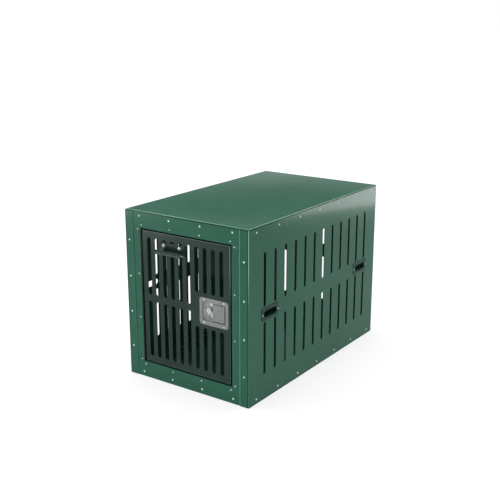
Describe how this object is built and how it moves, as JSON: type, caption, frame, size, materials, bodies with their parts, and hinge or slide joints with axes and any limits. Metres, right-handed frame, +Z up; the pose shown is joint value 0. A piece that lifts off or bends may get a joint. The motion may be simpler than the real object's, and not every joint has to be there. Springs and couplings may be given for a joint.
{
  "type": "animal transport crate",
  "caption": "Riveted sheet-metal animal transport crate with slotted walls, hand holes, and a slotted side-hinged door with a flush key-locking paddle latch and curled pull.",
  "frame": {"origin": "on the underside, midway between the side panels and midway between the front and rear flanges", "axes": "+Z up; +X to the right seen from the front; the door faces -Y"},
  "size_m": [0.6186, 1.0502, 0.711],
  "materials": {
    "body_coat": "green powder coat with a fine texture on sheet aluminium",
    "door_coat": "dark grey powder coat with a fine texture on sheet aluminium",
    "grip_coat": "dark grey moulded rim, satin",
    "bare_rivet": "bare bright aluminium",
    "stainless": "polished stainless sheet with fine brushing",
    "plated_steel": "bright zinc plate"
  },
  "bodies": {
    "crate": {"left_side_panel": "body_coat", "right_side_panel": "body_coat", "front_panel": "body_coat", "back_panel": "body_coat", "top_panel": "body_coat", "floor_panel": "body_coat", "top_door_stop": "body_coat", "bottom_door_stop": "body_coat", "latch_door_stop": "body_coat", "strike_plate": "stainless", "strike_screws": "plated_steel", "left_side_rivets": "bare_rivet", "right_side_rivets": "bare_rivet", "front_flange_rivets": "bare_rivet", "rear_flange_rivets": "bare_rivet", "front_panel_rivets": "bare_rivet", "back_panel_rivets": "bare_rivet", "door_stop_rivets": "bare_rivet", "hinge_frame_leaf": "door_coat", "hinge_frame_rivets": "bare_rivet", "hinge_pin": "plated_steel", "front_left_hand_grip": "grip_coat", "rear_left_hand_grip": "grip_coat", "front_right_hand_grip": "grip_coat", "rear_right_hand_grip": "grip_coat", "hand_grip_rivets": "bare_rivet"},
    "door": {"door_panel": "door_coat", "hinge_door_leaf": "door_coat", "hinge_door_rivets": "bare_rivet", "latch_pan": "stainless", "latch_rivets": "bare_rivet", "paddle_pin": "plated_steel", "bolt_case": "stainless", "bolt_spring": "plated_steel", "key_cylinder": "plated_steel", "cylinder_nut": "plated_steel", "door_pull": "door_coat", "door_pull_bolts": "plated_steel", "door_pull_washers": "plated_steel", "door_pull_nuts": "plated_steel"},
    "paddle": {"latch_paddle": "stainless"},
    "bolt": {"latch_bolt": "plated_steel"},
    "key": {"key_plug": "plated_steel", "lock_cam": "plated_steel"}
  },
  "joints": [
    {"name": "door_swing", "type": "hinge", "parent": "crate", "child": "door", "pos_m": [-0.2224, -0.507, 0.3555], "axis": [0, 0, -1], "range_deg": [0, 170]},
    {"name": "paddle_swing", "type": "hinge", "parent": "door", "child": "paddle", "pos_m": [0.1875, -0.499, 0.3555], "axis": [0, 0, 1], "range_deg": [0, 32], "stiffness_Nm_per_rad": 0.4, "springref_deg": -17.19},
    {"name": "bolt_slide", "type": "slide", "parent": "door", "child": "bolt", "axis": [-1, 0, 0], "range_m": [0, 0.0135], "deforming": ["bolt_spring"]},
    {"name": "key_turn", "type": "hinge", "parent": "door", "child": "key", "pos_m": [0.1065, -0.48, 0.3555], "axis": [0, -1, 0], "range_deg": [0, 90]}
  ],
  "couplings": [
    {"joint": "bolt_slide", "follows": "paddle_swing", "m_per_rad": 0.02417}
  ]
}
